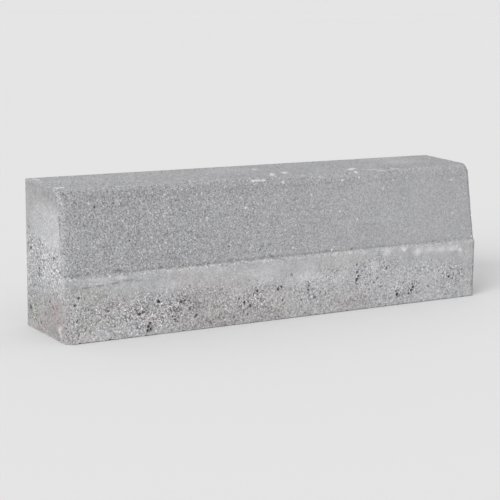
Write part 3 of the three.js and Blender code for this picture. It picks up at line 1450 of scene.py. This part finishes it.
    @staticmethod
    def hold_in(stone: bpy.types.Object, places: list[Vector], normals: list[Vector]) -> None:
        """Brings back under the cast surface what a relief turned outwards in a hollow's wall.

        Args:
            stone: The stone, with all relief pressed in.
            places: Where each vertex was on the cast surface.
            normals: The cast surface's outward normal at each vertex.
        """
        for place, normal, vertex in zip(places, normals, stone.data.vertices):
            proud = (vertex.co - place).dot(normal)
            if proud > 0.0:
                vertex.co -= normal * proud
        stone.data.update()

    @staticmethod
    def reliefs() -> tuple[Relief, ...]:
        """What is pressed into the stone.

        Returns:
            The reliefs, the widest features first.
        """
        return (
            Relief("form_wave", 90 * MM, 0.5 * MM),
            Relief("open_cavities", 4.6 * MM, 3.0 * MM, "open", contrast=5.5, level=1.95),
            Relief("open_cracks", 9.0 * MM, 1.4 * MM, "open", Basis.CRACKED, 3.0, 1.9),
            Relief("arris_wear", 12 * MM, 1.0 * MM, "arris", contrast=1.8, level=1.2),
            Relief("arris_chips", 7 * MM, 2.4 * MM, "arris", contrast=5.0, level=2.0),
            Relief("pits", 0.0, 4.2 * MM, "pitted", None),
        )

    def group(self, stone: bpy.types.Object, name: str, shares: list[float]) -> None:
        """Makes a vertex group from one share for each vertex, in even steps.

        Args:
            stone: The stone.
            name: The group's name.
            shares: The shares, from 0 to 1.
        """
        levels: dict[int, list[int]] = {}
        for index, share in enumerate(shares):
            levels.setdefault(round(share * self.group_steps), []).append(index)
        group = stone.vertex_groups.new(name=name)
        for level, indices in levels.items():
            if level > 0:
                group.add(indices, level / self.group_steps, "REPLACE")

    @staticmethod
    def note(stone: bpy.types.Object, name: str, shares: list[float]) -> None:
        """Keeps one share for each vertex as an attribute that the finish reads."""
        attribute = stone.data.attributes.new(name, "FLOAT", "POINT")
        attribute.data.foreach_set("value", [min(1.0, max(0.0, share)) for share in shares])


class NodeBench:
    """Adds nodes to a material and joins them, so that a finish reads as a recipe."""

    def __init__(self, name: str) -> None:
        """Starts a material.

        Args:
            name: The material's name.
        """
        self.material = bpy.data.materials.new(name)
        self.material.use_nodes = True
        self.tree = self.material.node_tree
        self.shader = self.tree.nodes["Principled BSDF"]
        self.place = self.node("ShaderNodeTexCoord").outputs["Object"]

    def node(self, kind: str, **settings: object) -> bpy.types.Node:
        """Adds a node.

        Args:
            kind: The node's type.
            **settings: Its properties.

        Returns:
            The node.
        """
        node = self.tree.nodes.new(kind)
        for name, value in settings.items():
            setattr(node, name, value)
        return node

    def feed(self, socket: bpy.types.NodeSocket, source: object) -> None:
        """Joins a socket to another one, or sets its value.

        Args:
            socket: The input.
            source: An output, or a plain value.
        """
        if isinstance(source, bpy.types.NodeSocket):
            self.tree.links.new(source, socket)
        else:
            socket.default_value = source

    def share(self, name: str) -> bpy.types.NodeSocket:
        """One of the stone's kept shares."""
        return self.node("ShaderNodeAttribute", attribute_name=name).outputs["Fac"]

    def grain(self, size: float, detail: float) -> bpy.types.NodeSocket:
        """Cloudy grain, mostly between 0.3 and 0.7, whose finer layers each halve in strength.

        Args:
            size: The size of its features, in metres.
            detail: How many finer layers are added.

        Returns:
            The grain's value.
        """
        node = self.node("ShaderNodeTexNoise")
        self.feed(node.inputs["Vector"], self.place)
        node.inputs["Scale"].default_value = 1.0 / size
        node.inputs["Detail"].default_value = detail
        node.inputs["Roughness"].default_value = 0.5
        return node.outputs["Fac"]

    def cells(self, size: float) -> tuple[bpy.types.NodeSocket, bpy.types.NodeSocket]:
        """Packed grains of one size.

        Args:
            size: The grains' size, in metres.

        Returns:
            The distance from each grain's middle, and its random colour.
        """
        node = self.node("ShaderNodeTexVoronoi")
        self.feed(node.inputs["Vector"], self.place)
        node.inputs["Scale"].default_value = 1.0 / size
        return node.outputs["Distance"], node.outputs["Color"]

    def sum(self, first: object, second: object) -> bpy.types.NodeSocket:
        """The sum of two values."""
        return self.math("ADD", first, second)

    def product(self, first: object, second: object) -> bpy.types.NodeSocket:
        """The product of two values."""
        return self.math("MULTIPLY", first, second)

    def swing(self, grain: bpy.types.NodeSocket, contrast: object) -> bpy.types.NodeSocket:
        """How far a grain is from its middle value, times a contrast."""
        return self.product(self.sum(grain, -0.5), contrast)

    def math(self, operation: str, first: object, second: object) -> bpy.types.NodeSocket:
        """One operation on two values.

        Args:
            operation: The operation's name.
            first: An output, or a plain value.
            second: Another one.

        Returns:
            The result.
        """
        node = self.node("ShaderNodeMath", operation=operation)
        self.feed(node.inputs[0], first)
        self.feed(node.inputs[1], second)
        return node.outputs[0]

    def ramp(self, value: bpy.types.NodeSocket, change: Ramp) -> bpy.types.NodeSocket:
        """An amount that changes smoothly with a value.

        Args:
            value: The value, as the ramp's measure.
            change: The ramp.

        Returns:
            The amount.
        """
        node = self.node("ShaderNodeMapRange", interpolation_type="SMOOTHSTEP")
        sources = (value, change.low, change.high, change.start, change.end)
        for socket, source in zip(node.inputs[:5], sources):
            self.feed(socket, source)
        return node.outputs[0]

    def blend(self, share: object, first: object, second: object) -> bpy.types.NodeSocket:
        """A colour between two others.

        Args:
            share: How much of the second one is in it.
            first: A colour, as an output or as plain values.
            second: Another one.

        Returns:
            The colour.
        """
        node = self.node("ShaderNodeMix", data_type="RGBA")
        # A Mix node takes its share at input 0, and colours at 6 and 7.
        for index, source in ((0, share), (6, first), (7, second)):
            self.feed(node.inputs[index], source)
        return node.outputs[2]

    def scale_colour(self, colour: object, factor: bpy.types.NodeSocket) -> bpy.types.NodeSocket:
        """A colour made lighter or darker.

        Args:
            colour: The colour, as an output or as plain values.
            factor: What it is multiplied by.

        Returns:
            The colour.
        """
        node = self.node("ShaderNodeVectorMath", operation="SCALE")
        self.feed(node.inputs[0], colour)
        self.feed(node.inputs["Scale"], factor)
        return node.outputs[0]

    def bump(self, height: bpy.types.NodeSocket, strength: float, distance: float) -> None:
        """Gives the shader a fine relief.

        Args:
            height: The relief's height, mostly between -1 and 1.
            strength: How much of it is seen.
            distance: How high a height of 1 is, in metres.
        """
        node = self.node("ShaderNodeBump")
        node.inputs["Strength"].default_value = strength
        node.inputs["Distance"].default_value = distance
        self.feed(node.inputs["Height"], height)
        self.feed(self.shader.inputs["Normal"], node.outputs["Normal"])


@dataclass(frozen=True)
class ConcreteFinish:
    """Vibrated grey concrete: bare sand on the batter, cement skin, and open core below.

    Attributes:
        bare_sand, cement_skin, open_core: The concrete's colours as it is cast.
        bloom_and_highlight_tone: The colour of bloom, scuffs and painted highlights.
            warm_stain, olive_stain: The colours of what came later.
        fine_size, coarse_size, sand_size: The sizes of its grain, in metres.
        cloud_size, mottle_size: The sizes of its small and its large clouds.
        fine_contrast, sand_contrast: How plain the fine grain and the grains of sand are.
        coarse_contrast: By the share of cement skin, how plain the coarse grain is.
        bright_sand: By a grain's own value, how much brighter the palest grains of sand are.
        cloud_contrast, mottle_contrast: By the share of cement skin, how plain the clouds are.
        painted_pore_shade: By the coarse grain's value, how dark the painted shade in its pores is.
        bloom_and_highlight_grain: By coarse grain, how dense bloom, scuffs and painted highlights
            are.
        dust_and_painted_light: How dark the thickest dust and painted shade are.
        sand_height, coarse_height, fine_height: What each grain adds to the fine relief.
        relief_strength, relief_height: How strong that relief is, and how high, in metres.
        roughness: The roughness of the surface.
        gloss: How strongly it reflects.
    """

    bare_sand: Colour = tone(166.2, 166.2, 168.2)
    cement_skin: Colour = tone(177.5, 177.5, 179)
    open_core: Colour = tone(179.5, 179.5, 181.5)
    bloom_and_highlight_tone: Colour = tone(220, 220, 223)
    warm_stain: Colour = tone(183, 175, 174)
    olive_stain: Colour = tone(178, 179, 171)
    fine_size: float = 1.5 * MM
    coarse_size: float = 4.0 * MM
    sand_size: float = 2.3 * MM
    cloud_size: float = 13.0 * MM
    mottle_size: float = 45.0 * MM
    fine_contrast: float = 1.5
    sand_contrast: float = 1.5
    coarse_contrast: Ramp = Ramp(0.0, 1.0, 1.0, 1.5)
    bright_sand: Ramp = Ramp(0.82, 0.9, -0.03, 0.6)
    cloud_contrast: Ramp = Ramp(0.0, 1.0, 0.09, 0.3)
    mottle_contrast: Ramp = Ramp(0.0, 1.0, 0.09, 0.22)
    painted_pore_shade: Ramp = Ramp(0.28, 0.38, 0.6, 0.0)
    bloom_and_highlight_grain: Ramp = Ramp(0.35, 0.5, 0.6, 1.0)
    dust_and_painted_light: float = 0.88
    sand_height: float = -0.8
    coarse_height: float = 1.1
    fine_height: float = 0.6
    relief_strength: float = 0.9
    relief_height: float = 1.4 * MM
    roughness: float = 0.93
    gloss: float = 0.3

    def material(self) -> bpy.types.Material:
        """Builds the finish from the stone's shares and from grain of several sizes.

        Returns:
            The material.
        """
        bench = NodeBench("vibrated_concrete")
        skin = bench.share("skin_share")
        grit = bench.share("grit_share")
        fine = bench.grain(self.fine_size, detail=1.0)
        coarse = bench.grain(self.coarse_size, detail=2.0)
        cloud = bench.grain(self.cloud_size, detail=2.0)
        mottle = bench.grain(self.mottle_size, detail=4.0)
        distance, sand = bench.cells(self.sand_size)

        speckle = bench.sum(
            bench.swing(sand, self.sand_contrast),
            bench.swing(coarse, bench.ramp(skin, self.coarse_contrast)),
        )
        speckle = bench.sum(speckle, bench.swing(fine, self.fine_contrast))
        speckle = bench.sum(speckle, bench.ramp(sand, self.bright_sand))
        light = bench.sum(bench.product(speckle, grit), 1.0)
        light = bench.sum(light, bench.swing(cloud, bench.ramp(skin, self.cloud_contrast)))
        light = bench.sum(light, bench.swing(mottle, bench.ramp(skin, self.mottle_contrast)))
        # Painted shade in the pores: the coarse grain's low places, which also dip the fine relief.
        painted_pore_shade = bench.product(bench.ramp(coarse, self.painted_pore_shade), grit)
        light = bench.product(light, bench.sum(bench.product(painted_pore_shade, -1.0), 1.0))
        # Dust and painted shade darken the colour.
        darkening = bench.product(bench.share("dust_and_shade_share"), -self.dust_and_painted_light)
        light = bench.product(light, bench.sum(darkening, 1.0))

        # Bloom and scuffs, with the painted highlights, in the pale tone.
        bloom_and_highlight = bench.product(bench.share("bloom_and_highlight_share"), bench.ramp(coarse, self.bloom_and_highlight_grain))
        colour = bench.scale_colour(self.stained(bench, skin), light)
        bench.feed(bench.shader.inputs["Base Color"], bench.blend(bloom_and_highlight, colour, self.bloom_and_highlight_tone))
        bench.shader.inputs["Roughness"].default_value = self.roughness
        bench.shader.inputs["Specular IOR Level"].default_value = self.gloss

        height = bench.sum(
            bench.product(distance, self.sand_height),
            bench.product(coarse, self.coarse_height),
        )
        height = bench.sum(height, bench.product(fine, self.fine_height))
        bench.bump(bench.product(height, grit), self.relief_strength, self.relief_height)
        return bench.material

    def stained(self, bench: NodeBench, skin: bpy.types.NodeSocket) -> bpy.types.NodeSocket:
        """The colour of the concrete with its stains, before its grain.

        Args:
            bench: The material's bench.
            skin: The share of cement skin.

        Returns:
            The colour.
        """
        colour = bench.blend(skin, self.bare_sand, self.cement_skin)
        for share, other in (
            ("open_share", self.open_core),
            ("warm_share", self.warm_stain),
            ("olive_share", self.olive_stain),
        ):
            colour = bench.blend(bench.share(share), colour, other)
        return colour


@dataclass
class KerbStone:
    """The whole stone: moulded, weathered and finished.

    Attributes:
        form: Its form.
        finish: Its finish.
        crease: The angle between two faces above which their edge is shaded sharp, in radians.
    """

    form: KerbForm = field(default_factory=KerbForm)
    finish: ConcreteFinish = field(default_factory=ConcreteFinish)
    crease: float = math.radians(55.0)

    def build(self) -> bpy.types.Object:
        """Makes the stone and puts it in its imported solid's place.

        Returns:
            The stone's object.
        """
        weathering = Weathering(self.form)
        stone = self.form.mould(weathering.zones())
        weathering.weather(stone)
        bpy.ops.object.shade_smooth_by_angle(angle=self.crease)
        stone.data.materials.append(self.finish.material())
        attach(stone, "root")
        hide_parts("kerb_stone")
        return stone


@dataclass
class Studio:
    """The floor, the light and the camera.

    Attributes:
        floor_size: The floor's side, in metres.
        floor_drop: How far it lies below the bed, in metres.
        floor_tone: Its colour.
        floor_roughness: Its roughness.
        floor_gloss: How strongly it reflects.
        surround: The strength of the even light from all around.
        key_strength: The strength of the key light.
        key_spread: The angle that it fills, in degrees.
        key_from: The direction that it comes from.
        key_distance: How far out its lamp stands, which has no effect on its light.
        lens: The camera's focal length, in millimetres.
        sensor_width: The width of its picture, in millimetres.
        camera_at: Its place, in metres.
        yaw: How far it is turned to the right of the road's normal, in degrees.
        pitch: How far it looks down, in degrees.
        roll: How far it leans, in degrees.
    """

    floor_size: float = 120.0
    floor_drop: float = 0.2 * MM
    floor_tone: Colour = tone(224, 224, 224)
    floor_roughness: float = 0.9
    floor_gloss: float = 0.2
    surround: float = 0.78
    key_strength: float = 1.95
    key_spread: float = 35.0
    key_from: Triple = (-0.80, -0.42, 0.43)
    key_distance: float = 3.0
    lens: float = 101.56
    sensor_width: float = 36.0
    camera_at: Triple = (-1.53916, -2.52674, 0.64952)
    yaw: float = 30.740
    pitch: float = 9.979
    roll: float = 0.526

    def build(self) -> None:
        """Lays the floor and sets the light and the camera."""
        self.lay_floor()
        self.light()
        self.aim_camera()

    def lay_floor(self) -> None:
        """Lays a plain pale floor that isn't part of the stone."""
        bpy.ops.object.select_all(action="DESELECT")
        place = (0.0, 0.0, -self.floor_drop)
        bpy.ops.mesh.primitive_plane_add(size=self.floor_size, location=place)
        floor = bpy.context.active_object
        floor.name = "studio_floor"
        paint = bpy.data.materials.new("studio_floor_paint")
        paint.use_nodes = True
        shader = paint.node_tree.nodes["Principled BSDF"]
        shader.inputs["Base Color"].default_value = self.floor_tone
        shader.inputs["Roughness"].default_value = self.floor_roughness
        shader.inputs["Specular IOR Level"].default_value = self.floor_gloss
        floor.data.materials.append(paint)
        floor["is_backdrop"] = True

    def light(self) -> None:
        """Sets a wide, soft key light from the left over an even surround."""
        world = bpy.data.worlds.new("studio_surround")
        world.use_nodes = True
        background = world.node_tree.nodes["Background"]
        background.inputs["Color"].default_value = (1.0, 1.0, 1.0, 1.0)
        background.inputs["Strength"].default_value = self.surround
        bpy.context.scene.world = world
        lamp = bpy.data.lights.new("studio_key", "SUN")
        lamp.energy = self.key_strength
        lamp.angle = math.radians(self.key_spread)
        key = bpy.data.objects.new("studio_key", lamp)
        key.location = Vector(self.key_from) * self.key_distance
        key.rotation_euler = Vector(self.key_from).to_track_quat("Z", "Y").to_euler()
        bpy.context.scene.collection.objects.link(key)

    def aim_camera(self) -> None:
        """Puts the camera at its place and turns it by yaw, pitch and roll."""
        lens = bpy.data.cameras.new("kerb_camera")
        lens.lens = self.lens
        lens.sensor_width = self.sensor_width
        camera = bpy.data.objects.new("kerb_camera", lens)
        camera.location = self.camera_at
        camera.rotation_euler = (math.radians(90.0 - self.pitch), 0.0, math.radians(-self.yaw))
        camera.rotation_euler.rotate_axis("Z", math.radians(self.roll))
        bpy.context.scene.collection.objects.link(camera)
        bpy.context.scene.camera = camera


def main() -> None:
    """Builds the kerb stone and the studio, and reports each piece."""
    logging.basicConfig(level=logging.INFO, format="%(name)s: %(message)s")
    cad_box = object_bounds()
    stone = KerbStone().build()
    LOG.info("%s built: %d faces", stone.name, len(stone.data.polygons))
    Studio().build()
    LOG.info("studio built")
    bpy.context.scene.view_settings.view_transform = "Standard"
    boxes = {"cad": cad_box, "visual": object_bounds()}
    {name: [list(end) for end in box] for name, box in boxes.items()}


if __name__ == "__main__":
    main()
